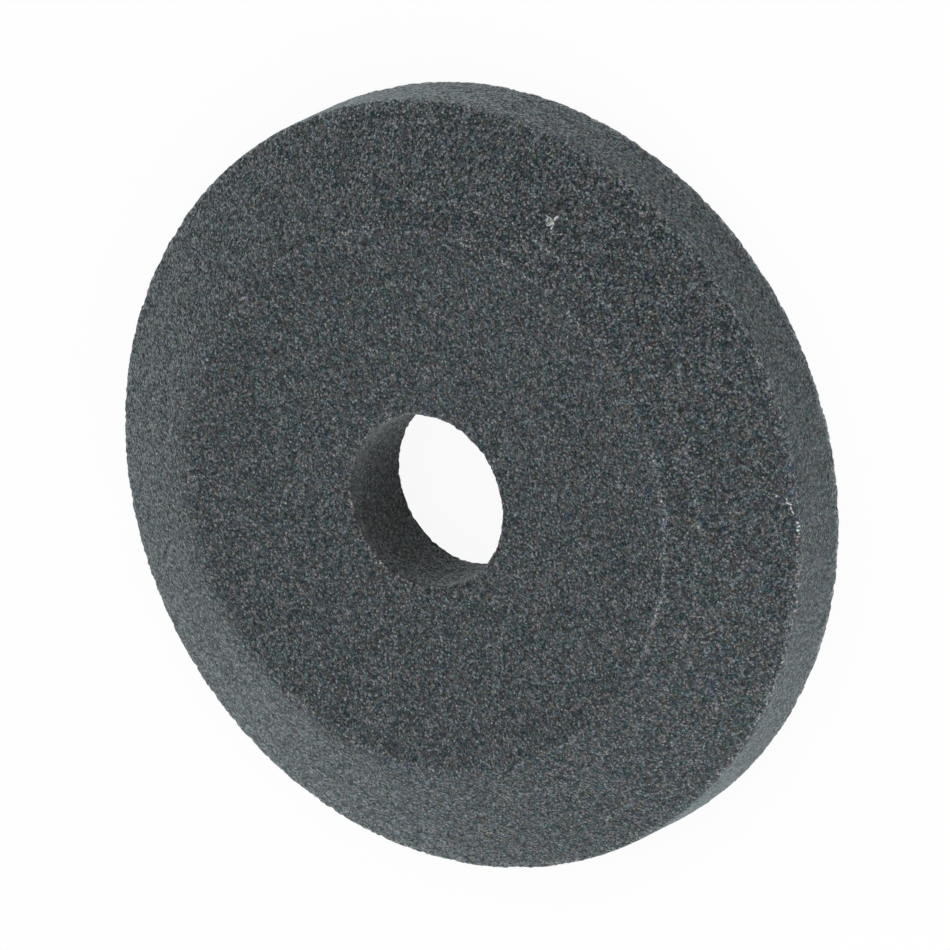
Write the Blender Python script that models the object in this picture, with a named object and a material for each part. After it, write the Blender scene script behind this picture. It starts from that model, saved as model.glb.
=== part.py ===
"""Ring-shaped sharpening stone with a conical bevel, a spindle bore and a recessed back.

The stone is one pressed and fired body of bonded abrasive grain, so it is one solid of
revolution. It lies on its flat back, with the bore's axis along +Z, the bevelled face up
and the origin at the middle of the back plane. Sizes are in metres, angles in radians.
"""

import math

import bpy
from mathutils import Matrix, Vector

# Driving sizes
OUTER_DIAMETER = 0.045
THICKNESS = 0.008
BORE_DIAMETER = 0.010

# Bevel: a main cone that rises from the rim, then a narrower and flatter crest band
BEVEL_WIDTH = 0.0049
BEVEL_ANGLE = math.radians(31)
CREST_WIDTH = 0.00155
CREST_ANGLE = math.radians(27)

# Back: the web round the bore is thinner than the rim, so that a nut or flange is sunk
WEB_THICKNESS = 0.00525
RECESS_DIAMETER = 0.024

# Edge radii
EDGE_RADIUS = 0.0001
MOUTH_RADIUS = 0.0004
CREASE_RADIUS = 0.0004
RECESS_CORNER_RADIUS = 0.0005

# Rounding stops at this share of a side, so that two arcs never meet on it
MOST_SHARE_OF_SIDE = 0.45

# Fineness of the facets
TURN_STEPS = 96
ARC_STEP = math.radians(25)

# Bonded silicon carbide, dark blue-grey
STONE_COLOR = (0.075, 0.085, 0.091, 1.0)
STONE_ROUGHNESS = 0.85


def clear_scene():
    for obj in list(bpy.data.objects):
        bpy.data.objects.remove(obj, do_unlink=True)


def section_corners():
    """Corners of the half section as ((radius, height), rounding), clockwise from the bore's mouth."""
    rim = OUTER_DIAMETER / 2
    bore = BORE_DIAMETER / 2
    recess = RECESS_DIAMETER / 2
    floor = THICKNESS - WEB_THICKNESS

    crest_line = rim - BEVEL_WIDTH
    face_edge = crest_line - CREST_WIDTH
    crest_height = THICKNESS - CREST_WIDTH * math.tan(CREST_ANGLE)
    rim_height = crest_height - BEVEL_WIDTH * math.tan(BEVEL_ANGLE)

    return [
        ((bore, THICKNESS), MOUTH_RADIUS),
        ((face_edge, THICKNESS), CREASE_RADIUS),
        ((crest_line, crest_height), CREASE_RADIUS),
        ((rim, rim_height), EDGE_RADIUS),
        ((rim, 0), EDGE_RADIUS),
        ((recess, 0), EDGE_RADIUS),
        ((recess, floor), RECESS_CORNER_RADIUS),
        ((bore, floor), EDGE_RADIUS),
    ]


def corner_arc(before, corner, after, radius):
    """Points of the arc that rounds one corner, from the side of before to the side of after."""
    back = before - corner
    ahead = after - corner
    half_angle = back.angle(ahead) / 2
    longest_reach = MOST_SHARE_OF_SIDE * min(back.length, ahead.length)
    reach = min(radius / math.tan(half_angle), longest_reach)

    inward = (back.normalized() + ahead.normalized()).normalized()
    centre = corner + inward * (reach / math.cos(half_angle))
    start = corner + back.normalized() * reach - centre
    end = corner + ahead.normalized() * reach - centre
    turn = start.angle_signed(end)
    steps = max(1, math.ceil(abs(turn) / ARC_STEP))
    # angle_signed counts clockwise as positive, and a rotation matrix the other way round.
    return [centre + Matrix.Rotation(-turn * i / steps, 2) @ start for i in range(steps + 1)]


def rounded_section():
    corners = section_corners()
    places = [Vector(place) for place, _ in corners]
    outline = []
    for i, (_, radius) in enumerate(corners):
        after = places[(i + 1) % len(places)]
        outline += corner_arc(places[i - 1], places[i], after, radius)
    return outline


def stone_material():
    material = bpy.data.materials.new("bonded_abrasive")
    material.use_nodes = True
    shader = material.node_tree.nodes["Principled BSDF"]
    shader.inputs["Base Color"].default_value = STONE_COLOR
    shader.inputs["Roughness"].default_value = STONE_ROUGHNESS
    shader.inputs["Metallic"].default_value = 0.0
    material.diffuse_color = STONE_COLOR
    return material


def turned_body(name, outline, material):
    """The closed outline, drawn in the XZ plane and turned once about Z."""
    count = len(outline)
    points = [(point.x, 0.0, point.y) for point in outline]
    edges = [(i, (i + 1) % count) for i in range(count)]
    mesh = bpy.data.meshes.new(name)
    mesh.from_pydata(points, edges, [])
    mesh.materials.append(material)
    body = bpy.data.objects.new(name, mesh)
    bpy.context.scene.collection.objects.link(body)

    turn = body.modifiers.new("turn", "SCREW")
    turn.axis = "Z"
    turn.angle = math.tau
    turn.screw_offset = 0.0
    turn.steps = TURN_STEPS
    turn.render_steps = TURN_STEPS
    turn.use_merge_vertices = True
    turn.merge_threshold = 1e-6
    turn.use_smooth_shade = True

    # Keeps the faces flat in shading and the rounded edges soft.
    shading = body.modifiers.new("shading", "WEIGHTED_NORMAL")
    shading.keep_sharp = True
    return body


clear_scene()
turned_body("sharpening_stone", rounded_section(), stone_material())
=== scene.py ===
import math

import bpy
import numpy as np
from mathutils import Matrix, Vector, noise


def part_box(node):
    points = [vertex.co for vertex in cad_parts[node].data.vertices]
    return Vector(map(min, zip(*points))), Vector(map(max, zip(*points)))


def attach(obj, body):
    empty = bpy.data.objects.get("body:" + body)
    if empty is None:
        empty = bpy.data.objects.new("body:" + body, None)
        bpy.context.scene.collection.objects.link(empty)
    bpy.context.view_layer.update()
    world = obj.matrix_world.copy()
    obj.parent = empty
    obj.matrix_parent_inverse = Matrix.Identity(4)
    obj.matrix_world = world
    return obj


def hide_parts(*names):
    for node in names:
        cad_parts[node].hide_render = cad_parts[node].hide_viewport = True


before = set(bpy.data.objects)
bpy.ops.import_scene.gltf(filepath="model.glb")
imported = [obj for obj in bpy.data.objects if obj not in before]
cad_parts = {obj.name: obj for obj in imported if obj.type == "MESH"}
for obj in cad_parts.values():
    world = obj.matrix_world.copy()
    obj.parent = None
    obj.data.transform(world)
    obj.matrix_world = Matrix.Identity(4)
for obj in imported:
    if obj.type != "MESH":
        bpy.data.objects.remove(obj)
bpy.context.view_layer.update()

# A round sharpening stone of bonded abrasive grain that lies flat on its back in a white studio.
# The stone is worked out in millimetres and scaled to metres as the last step. The floor, the
# lamps and the camera are in metres.
MM = 0.001
STONE_NODE = "sharpening_stone"

# Section of the stone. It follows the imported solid, and its overall sizes are read from the
# frame. The roundings, the recess's depth and the bevel's swell are fitted to the photo and move
# the surface by less than 0.2.
node_low, node_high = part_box(STONE_NODE)
RIM_RADIUS = (node_high.x - node_low.x) / 2 / MM
THICKNESS = (node_high.z - node_low.z) / MM
BORE_RADIUS = 5.0
BEVEL_WIDTH = 4.9
BEVEL_ANGLE = math.radians(31)
CREST_WIDTH = 1.55
CREST_ANGLE = math.radians(27)
RECESS_RADIUS = 12.0
RECESS_DEPTH = 2.66

CREST_LINE_RADIUS = RIM_RADIUS - BEVEL_WIDTH
FACE_EDGE_RADIUS = CREST_LINE_RADIUS - CREST_WIDTH
CREST_HEIGHT = THICKNESS - CREST_WIDTH * math.tan(CREST_ANGLE)
RIM_HEIGHT = CREST_HEIGHT - BEVEL_WIDTH * math.tan(BEVEL_ANGLE)

SHARP_ROUNDING = 0.28
BACK_ROUNDING = 0.05
REAR_ROUNDING = 0.05
MOUTH_ROUNDING = 0.20
FACE_ROUNDING = 1.4
CREST_ROUNDING = 0.4
RECESS_ROUNDING = 0.5
ARC_STEP = math.radians(8)
# Rounding stops at this share of a side, so that two arcs never meet on it
MOST_SHARE_OF_SIDE = 0.45

# The bevel is dressed very slightly convex: how far its middle stands above a straight cone
BEVEL_SWELL = 0.07
SWELL_ROUNDING = 40.0

# Mesh spacing: fine in a band along each crumbly edge, then growing with the distance from it,
# up to one step on the front, the rim and the bore's wall, and a wider one on the back
FINE_STEP = 0.118
FRONT_STEP = 0.205
BACK_STEP = 0.80
FINE_BAND = 0.35
STEP_GROWTH = 0.35
SEEN_MARGIN = 0.3
# The gap between rings as a share of the step along them, for triangles with nearly equal sides
RING_GAP = 0.87
FEWEST_POINTS = 48
# Each ring is turned by this much more of its own step than the last, so that no seam lines up
RING_TURN = 0.6180339887
# The slope of the section is taken over this distance to either side
SLOPE_REACH = 0.03
# The mesh stays this far inside the solid's radius
BOX_MARGIN = 1e-4

# Edges that crumble: radius, height and how much
CRUMBLY_EDGES = [
    (RIM_RADIUS, RIM_HEIGHT, 1.0),
    (RIM_RADIUS, 0.0, 1.0),
    (BORE_RADIUS, THICKNESS, 1.1),
    (BORE_RADIUS, RECESS_DEPTH, 1.1),
    (RECESS_RADIUS, 0.0, 0.7),
]
CRUMBLE_REACH = 0.26

# Unevenness as layers of noise: size, shift, height on the faces and height at a crumbly edge
UNEVENNESS = [
    (0.62, Vector((0.0, 0.0, 0.0)), 0.006, 0.030),
    (0.34, Vector((7.1, 3.3, 1.7)), 0.010, 0.070),
    (0.19, Vector((2.9, 8.4, 5.2)), 0.010, 0.075),
]
SINK = 0.008
# A crumbly edge also loses single crumbs and longer pieces: size, threshold and depth of each
CRUMB_SIZE, CRUMB_FROM, CRUMB_DEPTH = 0.42, 0.35, 0.10
PIECE_SIZE, PIECE_FROM, PIECE_DEPTH = 0.9, 0.2, 0.18
PIECE_SHIFT = Vector((4.0, 1.0, 9.0))

# Tones are powers: a tone that is higher by 1 is GRAIN_CONTRAST times as bright.
STONE_GREY = 0.0640
GRAIN_CONTRAST = 29.0
MIDDLE_TONE = 0.46
BRIGHTEST = 9.0
# Size of the larger and smaller grains, and the share of each in the tone
GRAIN_SIZE, GRAIN_SHARE = 0.125, 0.52
SMALL_SIZE, SMALL_SHARE = 0.078, 0.48
# Gaps between grains are darker: where this starts and where it is full, as distances from a
# grain's middle in parts of its size, and how much
GAP_FROM, GAP_TO, GAP_TONE = 0.25, 0.75, 0.16
MOTTLE_SIZE, MOTTLE_TONE = 0.75, 0.04
# The upright walls were pressed, and are more even than the dressed front. The two are told
# apart by how much of the surface's normal points up or down.
WALL_CONTRAST = 0.86
WALL_NORMAL, FRONT_NORMAL = 0.1, 0.7
# The bore's wall is nearly neutral and more even still, and darker: painted shade, for the little
# light that reaches into the bore. Round its mouth the tone and the cast fade into those of the
# front over these distances.
BORE_CAST = 0.25
BORE_SHADE_TONE = -0.08
BORE_CONTRAST = 0.82
BORE_FADE, CAST_FADE = 0.15, 0.4

# The hue: its cool cast, how far it wanders, the size of its patches, and the power of the
# brightness that it grows with
COOL_CAST = (-0.0093, 0.0, 0.0046)
HUE_SPREAD = (0.112, 0.0, 0.094)
HUE_SIZE = 0.45
HUE_POWER = 0.55

# How far grains of the two sizes tilt, and the bumps between them, whose depth is in metres
GRAIN_TILT = 0.65
SMALL_TILT = 0.35
GRAIN_BUMP, SMALL_BUMP = -0.7, 0.5
BUMP_STRENGTH, BUMP_DEPTH = 0.5, 0.00005

STONE_ROUGHNESS = 0.50
STONE_IOR = 1.13
# Dust on the grain lightens it where it is seen at a low angle
SHEEN = 0.37
SHEEN_ROUGHNESS = 0.37
SHEEN_TINT = (0.80, 0.97, 1.0, 1.0)

# Lighter lines along the edges, some of them rubbed wear and some painted light: radius, height,
# width and how much higher the tone is
WEAR_AND_PAINTED_LIGHT_LINES = [
    # Painted light: a wide pale band that lifts the shade on the sharp edge's rounding
    (RIM_RADIUS - 0.03, RIM_HEIGHT - 0.02, 0.70, 0.080),
    # Painted light: a glow along the back edge, as of light coming from behind
    (RIM_RADIUS, 0.0, 0.60, 0.290),
    (CREST_LINE_RADIUS, CREST_HEIGHT, 0.24, 0.070),
    (FACE_EDGE_RADIUS - 0.20, THICKNESS, 0.32, 0.075),
    # Painted highlight along the middle of the mouth's rounding
    (BORE_RADIUS + 0.02, THICKNESS - 0.04, 0.18, 0.240),
    # Painted light on the bore's rear edge, as of light coming through from behind
    (BORE_RADIUS, RECESS_DEPTH, 0.30, 0.150),
    (RECESS_RADIUS, 0.0, 0.40, 0.110),
]

# Painted highlights along the sharp edge and the face's edge, strongest on the side of the stone
# that the light comes from, and the way to that side. Then the cosine of the angle from it at
# which this starts, and the strength of the lines far from it and at it
LIT_SIDE_HIGHLIGHT_LINES = [
    (RIM_RADIUS - 0.03, RIM_HEIGHT - 0.02, 0.20, 0.095),
    (FACE_EDGE_RADIUS - 0.24, THICKNESS, 0.20, 0.075),
]
LIT_SIDE_WAY = (math.cos(math.radians(234)), math.sin(math.radians(234)), 0.0)
SIDE_FROM = 0.80
SIDE_LEAST, SIDE_MOST = 0.2, 1.3

# The lighter lines, both wear and painted light, come in patches: their size, and the least and
# most of it
PATCH_SIZE = 0.33
PATCH_LEAST, PATCH_MOST = 0.1, 1.9

# Small pale marks that show in the photo, as lines of (x, y) seen from above, each with its
# width and how much higher its tone is: a forked chip and a short scratch on the bevel, and a
# fine fibre at the sharp edge
PALE_MARKS = [
    ([(11.37, -15.15), (11.29, -15.00), (11.08, -15.00), (10.98, -15.10), (11.01, -15.26),
      (11.08, -15.31), (11.19, -15.58)], 0.100, 0.50),
    ([(10.98, -15.29), (10.83, -15.26), (10.75, -15.16)], 0.090, 0.46),
    ([(10.61, -15.10), (10.42, -15.18), (10.33, -15.30), (10.22, -15.53)], 0.050, 0.26),
    ([(-8.68, -20.17), (-8.84, -20.10), (-9.01, -20.13), (-9.09, -20.22), (-9.23, -20.09),
      (-9.43, -20.05), (-9.62, -20.06)], 0.050, 0.46),
]

# Single bright grains at the sharp edge and one in the chip: x, y, size and how much higher the
# tone is
BRIGHT_GRAINS = [
    (-10.17, -19.97, 0.08, 0.51),
    (-10.36, -19.86, 0.08, 0.44),
    (-10.55, -19.74, 0.09, 0.64),
    (-8.30, -19.83, 0.08, 0.50),
    (11.14, -15.15, 0.20, 0.45),
]
# Marks lie above this height, and fade between these parts of their width
MARKS_ABOVE = 3.9
MARK_CORE, MARK_FADE = 0.4, 1.3

# The world's light at the horizon and straight above
HORIZON, ZENITH = 0.47, 1.27

# Soft lamps all stand as far off, as high and as wide: name, turn in degrees and level
LAMPS = [
    ("side", 187.0, 0.45),
    ("back", 110.0, 0.12),
    ("front", 285.0, 0.13),
]
LAMP_DISTANCE = 0.50
LAMP_ELEVATION = math.radians(8)
LAMP_SIZE = 0.12

WHITE = (1.0, 1.0, 1.0, 1.0)
PAPER = (0.88, 0.88, 0.88, 1.0)
# Share of plain white in what the camera sees of the floor; the rest is lit and keeps shadows
FLOOR_WHITE = 0.93
FLOOR_REACH = 8.0

# Camera of the photo: a long lens, far away, rolled so that the stone hangs as it does there
CAMERA_ELEVATION = math.radians(54.27)
CAMERA_ROLL = math.radians(-115.8)
CAMERA_DISTANCE = 1.8
CAMERA_LENS = 1205.5
SENSOR_WIDTH = 36.0
CLIP_NEAR, CLIP_FAR = 0.1, 20.0
AIM_RIGHT, AIM_UP = 0.00084, 0.00057


# Section of the stone

def corner_arc(before, corner, after, radius):
    """Points of the arc that rounds one corner of the section."""
    back, ahead = before - corner, after - corner
    half = back.angle(ahead) / 2
    reach = min(radius / math.tan(half), MOST_SHARE_OF_SIDE * min(back.length, ahead.length))
    inward = (back.normalized() + ahead.normalized()).normalized()
    centre = corner + inward * (reach / math.cos(half))
    start = corner + back.normalized() * reach - centre
    end = corner + ahead.normalized() * reach - centre
    turn = start.angle_signed(end)
    steps = max(2, math.ceil(abs(turn) / ARC_STEP))
    # angle_signed counts clockwise as positive, and a rotation matrix the other way round.
    return [centre + Matrix.Rotation(-turn * i / steps, 2) @ start for i in range(steps + 1)]


def rounded_section():
    """The half section as (radius, height) points, clockwise from the bore's mouth."""
    corners = [
        ((BORE_RADIUS, THICKNESS), MOUTH_ROUNDING),
        ((FACE_EDGE_RADIUS, THICKNESS), FACE_ROUNDING),
        ((CREST_LINE_RADIUS, CREST_HEIGHT), CREST_ROUNDING),
        ((CREST_LINE_RADIUS + BEVEL_WIDTH / 2, (CREST_HEIGHT + RIM_HEIGHT) / 2 + BEVEL_SWELL),
         SWELL_ROUNDING),
        ((RIM_RADIUS, RIM_HEIGHT), SHARP_ROUNDING),
        ((RIM_RADIUS, 0.0), BACK_ROUNDING),
        ((RECESS_RADIUS, 0.0), BACK_ROUNDING),
        ((RECESS_RADIUS, RECESS_DEPTH), RECESS_ROUNDING),
        ((BORE_RADIUS, RECESS_DEPTH), REAR_ROUNDING),
    ]
    places = [Vector(place) for place, _ in corners]
    outline = []
    for i, (_, radius) in enumerate(corners):
        after = places[(i + 1) % len(places)]
        outline += corner_arc(places[i - 1], places[i], after, radius)
    return np.array([tuple(p) for p in outline])


def step_at(radius, height):
    """Mesh spacing wanted at a place of the section."""
    edge = min(math.hypot(radius - r, height - z) for r, z, _ in CRUMBLY_EDGES)
    away = max(0.0, edge - FINE_BAND)
    seen = (radius < BORE_RADIUS + SEEN_MARGIN or radius > RIM_RADIUS - SEEN_MARGIN
            or height > RIM_HEIGHT - SEEN_MARGIN)
    return min(FRONT_STEP if seen else BACK_STEP, FINE_STEP + STEP_GROWTH * away)


def ring_places(outline):
    """Rings along the section as rows of radius, height, normal radius and normal height."""
    closed = np.vstack([outline, outline[:1]])
    lengths = np.hypot(*np.diff(closed, axis=0).T)
    along = np.concatenate([[0.0], np.cumsum(lengths)])
    total = along[-1]

    def at(stops):
        return np.interp(stops, along, closed[:, 0]), np.interp(stops, along, closed[:, 1])

    stops = [0.0]
    while stops[-1] < total:
        stops.append(stops[-1] + RING_GAP * step_at(*at(stops[-1])))
    stops = np.array(stops) * (total / stops[-1])
    stops = stops[:-1]

    radii, heights = at(stops)
    radii_ahead, heights_ahead = at((stops + SLOPE_REACH) % total)
    radii_behind, heights_behind = at((stops - SLOPE_REACH) % total)
    slope_r, slope_z = radii_ahead - radii_behind, heights_ahead - heights_behind
    size = np.hypot(slope_r, slope_z)
    return np.column_stack([radii, heights, -slope_z / size, slope_r / size])


# Mesh of the stone

def grain_height(place, wear):
    """How far a point moves along its normal, never outwards past the sharp-edged form."""
    face = edge = 0.0
    for size, shift, on_face, on_edge in UNEVENNESS:
        level = noise.noise(place * (1 / size) + shift)
        face += on_face * level
        edge += on_edge * level

    near, _ = noise.voronoi(place * (1 / CRUMB_SIZE))
    edge -= CRUMB_DEPTH * max(0.0, near[0] - CRUMB_FROM)
    piece = noise.noise(place * (1 / PIECE_SIZE) + PIECE_SHIFT)
    edge -= PIECE_DEPTH * max(0.0, piece - PIECE_FROM)
    return min(0.0, face - SINK + wear * edge)


def strip(ring_a, ring_b):
    """Triangles between two rings of different counts, by the order of their mid angles.

    A ring is its first point's number, its count of points and its first angle.
    """
    start_a, count_a, turn_a = ring_a
    start_b, count_b, turn_b = ring_b
    step_a, step_b = math.tau / count_a, math.tau / count_b
    a, b = np.arange(count_a), np.arange(count_b)
    facing_b = np.ceil((turn_a + (a + 0.5) * step_a - turn_b) / step_b - 0.5).astype(int)
    facing_a = np.ceil((turn_b + (b + 0.5) * step_b - turn_a) / step_a - 0.5).astype(int)
    on_a = np.column_stack([
        start_a + (a + 1) % count_a, start_a + a, start_b + facing_b % count_b
    ])
    on_b = np.column_stack([
        start_b + b, start_b + (b + 1) % count_b, start_a + facing_a % count_a
    ])
    return np.vstack([on_a, on_b])


def stone_mesh():
    """Points in metres and triangles of the whole stone, ring by ring round the section."""
    rings, places, normals = [], [], []
    total = 0
    for i, (radius, height, normal_r, normal_z) in enumerate(ring_places(rounded_section())):
        count = max(FEWEST_POINTS, round(math.tau * radius / step_at(radius, height)))
        turn = (i * RING_TURN) % 1.0 * math.tau / count
        angles = turn + np.arange(count) * (math.tau / count)
        cos, sin = np.cos(angles), np.sin(angles)
        places.append(np.column_stack([radius * cos, radius * sin, np.full(count, height)]))
        normals.append(np.column_stack([normal_r * cos, normal_r * sin, np.full(count, normal_z)]))
        rings.append((total, count, turn))
        total += count
    places, normals = np.vstack(places), np.vstack(normals)
    faces = np.vstack([strip(ring, rings[(i + 1) % len(rings)]) for i, ring in enumerate(rings)])

    radii = np.hypot(places[:, 0], places[:, 1])
    wear = np.zeros(len(places))
    for r, z, much in CRUMBLY_EDGES:
        away = np.hypot(radii - r, places[:, 2] - z)
        wear = np.maximum(wear, much * np.exp(-(away / CRUMBLE_REACH) ** 2))
    moved = np.array([grain_height(Vector(p), w) for p, w in zip(places, wear)])
    places = places + normals * moved[:, None]

    # Nothing may stand out of the solid's box.
    radii = np.hypot(places[:, 0], places[:, 1])
    shrink = np.minimum(1.0, (RIM_RADIUS - BOX_MARGIN) / radii)
    places[:, :2] *= shrink[:, None]
    places[:, 2] = np.clip(places[:, 2], 0.0, THICKNESS)
    return places * MM, faces


def new_object(name, places, faces, material):
    mesh = bpy.data.meshes.new(name)
    mesh.from_pydata(places.tolist(), [], faces.tolist())
    mesh.validate()
    mesh.shade_smooth()
    mesh.materials.append(material)
    made = bpy.data.objects.new(name, mesh)
    bpy.context.scene.collection.objects.link(made)
    return made


# Materials

class Nodes:
    """Small helper that adds nodes to a material or world and links them."""

    def __init__(self, owner):
        owner.use_nodes = True
        self.tree = owner.node_tree
        self.tree.nodes.clear()

    def add(self, kind, settings=None, **inputs):
        """A new node. An input is named as in Blender, with _ for a space, or i and its number."""
        node = self.tree.nodes.new(kind)
        for key, value in (settings or {}).items():
            setattr(node, key, value)
        for key, value in inputs.items():
            numbered = key[0] == "i" and key[1:].isdigit()
            self.join(value, node.inputs[int(key[1:]) if numbered else key.replace("_", " ")])
        return node

    def join(self, value, socket):
        """Links an output to the socket, or sets a plain value on it."""
        if isinstance(value, bpy.types.NodeSocket):
            self.tree.links.new(value, socket)
        else:
            socket.default_value = value

    def math(self, operation, a, b=0.0, c=0.0, clamp=False):
        node = self.add("ShaderNodeMath", {"operation": operation, "use_clamp": clamp},
                        i0=a, i1=b, i2=c)
        return node.outputs[0]

    def vector(self, operation, a, b=None, c=None, scale=None):
        node = self.add("ShaderNodeVectorMath", {"operation": operation}, i0=a)
        for socket, value in zip(node.inputs[1:3], (b, c)):
            if value is not None:
                self.join(value, socket)
        if scale is not None:
            self.join(scale, node.inputs["Scale"])
        number = operation in ("LENGTH", "DISTANCE", "DOT_PRODUCT")
        return node.outputs["Value" if number else "Vector"]

    def remap(self, value, low, high, to_low, to_high, smooth=False):
        settings = {"clamp": True}
        if smooth:
            settings["interpolation_type"] = "SMOOTHSTEP"
        node = self.add("ShaderNodeMapRange", settings, Value=value, From_Min=low, From_Max=high,
                        To_Min=to_low, To_Max=to_high)
        return node.outputs["Result"]

    def height(self, vector):
        return self.add("ShaderNodeSeparateXYZ", Vector=vector).outputs["Z"]

    def flat(self, vector):
        """The vector without its height."""
        return self.vector("MULTIPLY", vector, (1.0, 1.0, 0.0))

    def centred(self, color):
        """A random colour as a vector round zero."""
        return self.vector("SUBTRACT", color, (0.5, 0.5, 0.5))


def edge_wear_and_painted_light(n, mm):
    """How much higher the tone is along the edges, from rubbed wear and painted light, in patches.
    """
    flat = n.flat(mm)
    height = n.height(mm)
    section = n.add("ShaderNodeCombineXYZ", X=n.vector("LENGTH", flat), Z=height).outputs[0]

    def lines(table):
        total = 0.0
        for radius, up, width, much in table:
            away = n.vector("DISTANCE", section, (radius, 0.0, up))
            total = n.math("ADD", n.remap(away, 0.0, width, much, 0.0, smooth=True), total)
        return total

    # Painted highlights: the side lines are strongest on the side that the light comes from
    side = n.vector("DOT_PRODUCT", n.vector("NORMALIZE", flat), LIT_SIDE_WAY)
    share = n.remap(side, SIDE_FROM, 1.0, SIDE_LEAST, SIDE_MOST, smooth=True)
    total = n.math("MULTIPLY_ADD", lines(LIT_SIDE_HIGHLIGHT_LINES), share, lines(WEAR_AND_PAINTED_LIGHT_LINES))
    noisy = n.add("ShaderNodeTexNoise", Vector=mm, Scale=1 / PATCH_SIZE, Detail=2.0, Roughness=0.7)
    patches = n.remap(noisy.outputs["Fac"], 0.35, 0.65, PATCH_LEAST, PATCH_MOST)
    return n.math("MULTIPLY", total, patches)


def marked(n, mm):
    """How much higher the tone is at the few marks and brightest grains."""
    front = n.math("GREATER_THAN", n.height(mm), MARKS_ABOVE)
    flat = n.flat(mm)

    def mark(away, width, much):
        return n.remap(away, width * MARK_CORE, width * MARK_FADE, much, 0.0, smooth=True)

    total = 0.0
    for line, width, much in PALE_MARKS:
        points = [Vector((x, y, 0.0)) for x, y in line]
        nearest = 1.0
        for start, end in zip(points, points[1:]):
            run = end - start
            offset = n.vector("SUBTRACT", flat, tuple(start))
            share = n.math("MULTIPLY", n.vector("DOT_PRODUCT", offset, tuple(run)),
                           1 / run.length_squared, clamp=True)
            away = n.vector("DISTANCE", offset, n.vector("SCALE", tuple(run), scale=share))
            nearest = n.math("MINIMUM", away, nearest)
        total = n.math("MAXIMUM", mark(nearest, width, much), total)
    for x, y, size, much in BRIGHT_GRAINS:
        away = n.vector("DISTANCE", flat, (x, y, 0.0))
        total = n.math("MAXIMUM", mark(away, size, much), total)
    return n.math("MULTIPLY", total, front)


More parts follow.
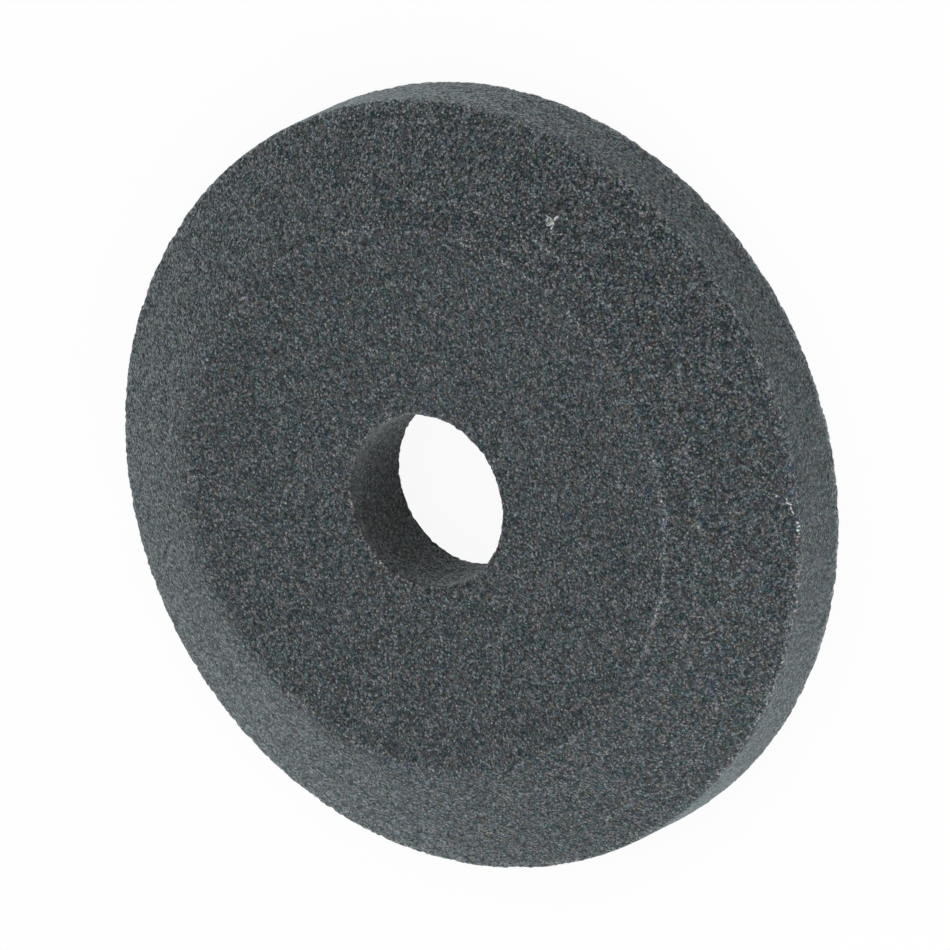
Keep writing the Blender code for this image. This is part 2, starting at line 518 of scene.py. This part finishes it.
def stone_material():
    material = bpy.data.materials.new("bonded_abrasive_grain")
    n = Nodes(material)
    place = n.add("ShaderNodeTexCoord").outputs["Object"]
    mm = n.vector("SCALE", place, scale=1 / MM)

    # Single grains: a random tone for each cell, at two sizes
    grain = n.add("ShaderNodeTexVoronoi", Vector=mm, Scale=1 / GRAIN_SIZE, Randomness=1.0)
    small = n.add("ShaderNodeTexVoronoi", Vector=mm, Scale=1 / SMALL_SIZE, Randomness=1.0)
    grain_tone = n.add("ShaderNodeSeparateColor", Color=grain.outputs["Color"])
    small_tone = n.add("ShaderNodeSeparateColor", Color=small.outputs["Color"])
    tone = n.math("MULTIPLY_ADD", grain_tone.outputs[0], GRAIN_SHARE,
                  n.math("MULTIPLY", small_tone.outputs[0], SMALL_SHARE))
    gap = n.remap(grain.outputs["Distance"], GAP_FROM, GAP_TO, 0.0, GAP_TONE)
    tone = n.math("SUBTRACT", tone, gap)

    mottle = n.add("ShaderNodeTexNoise", Vector=mm, Scale=1 / MOTTLE_SIZE, Detail=3.0,
                   Roughness=0.6)
    mottle = n.remap(mottle.outputs["Fac"], 0.25, 0.75, -MOTTLE_TONE, MOTTLE_TONE)
    tone = n.math("ADD", tone, mottle)

    # The contrast falls on the upright walls, and once more in the bore
    facing = n.math("ABSOLUTE", n.height(n.add("ShaderNodeTexCoord").outputs["Normal"]))
    level = n.remap(facing, WALL_NORMAL, FRONT_NORMAL, WALL_CONTRAST, 1.0)
    radius = n.vector("LENGTH", n.flat(mm))
    in_bore = n.remap(radius, BORE_RADIUS, BORE_RADIUS + BORE_FADE, 1.0, 0.0)
    level = n.math("MULTIPLY", level, n.remap(in_bore, 0.0, 1.0, 1.0, BORE_CONTRAST))
    tone = n.math("MULTIPLY", n.math("SUBTRACT", tone, MIDDLE_TONE), level)
    # Painted shade: the bore's wall is darker
    tone = n.math("MULTIPLY_ADD", in_bore, BORE_SHADE_TONE, tone)
    # Lighter lines along the edges: rubbed wear, painted highlights and painted glow
    tone = n.math("ADD", tone, edge_wear_and_painted_light(n, mm))
    tone = n.math("ADD", tone, marked(n, mm))
    bright = n.math("MINIMUM", n.math("POWER", GRAIN_CONTRAST, tone), BRIGHTEST)

    # The hue wanders on its own, between red and green and between blue and yellow
    hue = n.add("ShaderNodeTexNoise", Vector=mm, Scale=1 / HUE_SIZE, Detail=3.0, Roughness=0.85)
    hue = n.centred(hue.outputs["Color"])
    cast = n.remap(radius, BORE_RADIUS, BORE_RADIUS + CAST_FADE, BORE_CAST, 1.0)
    hue = n.vector("MULTIPLY_ADD", hue, HUE_SPREAD, n.vector("SCALE", COOL_CAST, scale=cast))
    color = n.vector("ADD", n.vector("SCALE", (STONE_GREY,) * 3, scale=bright),
                     n.vector("SCALE", hue, scale=n.math("POWER", bright, HUE_POWER)))

    # Each grain is a small facet that is tilted its own way
    height = n.math("MULTIPLY_ADD", grain.outputs["Distance"], GRAIN_BUMP,
                    n.math("MULTIPLY", small_tone.outputs[1], SMALL_BUMP))
    bump = n.add("ShaderNodeBump", Height=height, Strength=BUMP_STRENGTH, Distance=BUMP_DEPTH)
    grain_facet = n.centred(grain.outputs["Color"])
    small_facet = n.centred(small.outputs["Color"])
    normal = n.vector("ADD", bump.outputs[0], n.vector("SCALE", grain_facet, scale=GRAIN_TILT))
    normal = n.vector("ADD", normal, n.vector("SCALE", small_facet, scale=SMALL_TILT))
    normal = n.vector("NORMALIZE", normal)

    shader = n.add("ShaderNodeBsdfPrincipled", Base_Color=color, Roughness=STONE_ROUGHNESS,
                   IOR=STONE_IOR, Sheen_Weight=SHEEN,
                   Sheen_Roughness=SHEEN_ROUGHNESS, Sheen_Tint=SHEEN_TINT, Normal=normal)
    n.add("ShaderNodeOutputMaterial", Surface=shader.outputs[0])
    return material


def seen_directly(n):
    """1 for rays from the camera and for rays mirrored or passed on to it, else 0."""
    path = n.add("ShaderNodeLightPath")
    seen = n.math("MAXIMUM", path.outputs["Is Camera Ray"], path.outputs["Is Glossy Ray"])
    return n.math("MAXIMUM", seen, path.outputs["Is Transmission Ray"])


def floor_material():
    material = bpy.data.materials.new("studio_floor")
    n = Nodes(material)
    white = n.add("ShaderNodeEmission", Color=WHITE, Strength=1.0)
    paper = n.add("ShaderNodeBsdfDiffuse", Color=PAPER, Roughness=1.0)
    share = n.math("MULTIPLY", seen_directly(n), FLOOR_WHITE)
    both = n.add("ShaderNodeMixShader", i0=share, i1=paper.outputs[0], i2=white.outputs[0])
    n.add("ShaderNodeOutputMaterial", Surface=both.outputs[0])
    return material


# Studio

def floor():
    corners = [(-1, -1, 0), (1, -1, 0), (1, 1, 0), (-1, 1, 0)]
    made = new_object("floor", FLOOR_REACH * np.array(corners), np.array([(0, 1, 2, 3)]),
                      floor_material())


def studio_world():
    """White light, dimmer at the horizon than overhead."""
    world = bpy.data.worlds.new("studio")
    bpy.context.scene.world = world
    n = Nodes(world)
    up = n.height(n.add("ShaderNodeTexCoord").outputs["Generated"])
    strength = n.remap(up, 0.0, 1.0, HORIZON, ZENITH)
    light = n.add("ShaderNodeBackground", Color=WHITE, Strength=strength)
    n.add("ShaderNodeOutputWorld", Surface=light.outputs[0])


def soft_box(name, turn, level):
    """A square soft lamp aimed at the stone; level 1 would light a facing white card white."""
    data = bpy.data.lights.new(name, "AREA")
    data.shape = "SQUARE"
    data.size = LAMP_SIZE
    data.energy = level * math.pi * math.pi * LAMP_DISTANCE ** 2
    lamp = bpy.data.objects.new(name, data)
    source = Vector((math.cos(turn) * math.cos(LAMP_ELEVATION),
                     math.sin(turn) * math.cos(LAMP_ELEVATION),
                     math.sin(LAMP_ELEVATION)))
    lamp.location = source * LAMP_DISTANCE
    lamp.rotation_mode = "QUATERNION"
    lamp.rotation_quaternion = source.to_track_quat("Z", "Y")
    lamp.visible_camera = False
    bpy.context.scene.collection.objects.link(lamp)


def photo_camera():
    back = Vector((0.0, -math.cos(CAMERA_ELEVATION), math.sin(CAMERA_ELEVATION)))
    level_right = Vector((1.0, 0.0, 0.0))
    level_up = back.cross(level_right)
    right = level_right * math.cos(CAMERA_ROLL) + level_up * math.sin(CAMERA_ROLL)
    up = back.cross(right)
    aim = Vector((0.0, 0.0, RIM_HEIGHT * MM)) + right * AIM_RIGHT + up * AIM_UP

    data = bpy.data.cameras.new("photo_camera")
    data.lens = CAMERA_LENS
    data.sensor_width = SENSOR_WIDTH
    data.clip_start, data.clip_end = CLIP_NEAR, CLIP_FAR
    camera = bpy.data.objects.new("photo_camera", data)
    camera.rotation_mode = "QUATERNION"
    camera.rotation_quaternion = Matrix((right, up, back)).transposed().to_quaternion()
    camera.location = aim + back * CAMERA_DISTANCE
    bpy.context.scene.collection.objects.link(camera)
    bpy.context.scene.camera = camera


places, faces = stone_mesh()
stone = new_object("ring_stone", places, faces, stone_material())
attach(stone, "root")
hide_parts(STONE_NODE)

floor()
studio_world()
for name, turn, level in LAMPS:
    soft_box(name, math.radians(turn), level)
photo_camera()
bpy.context.scene.view_settings.view_transform = "Standard"
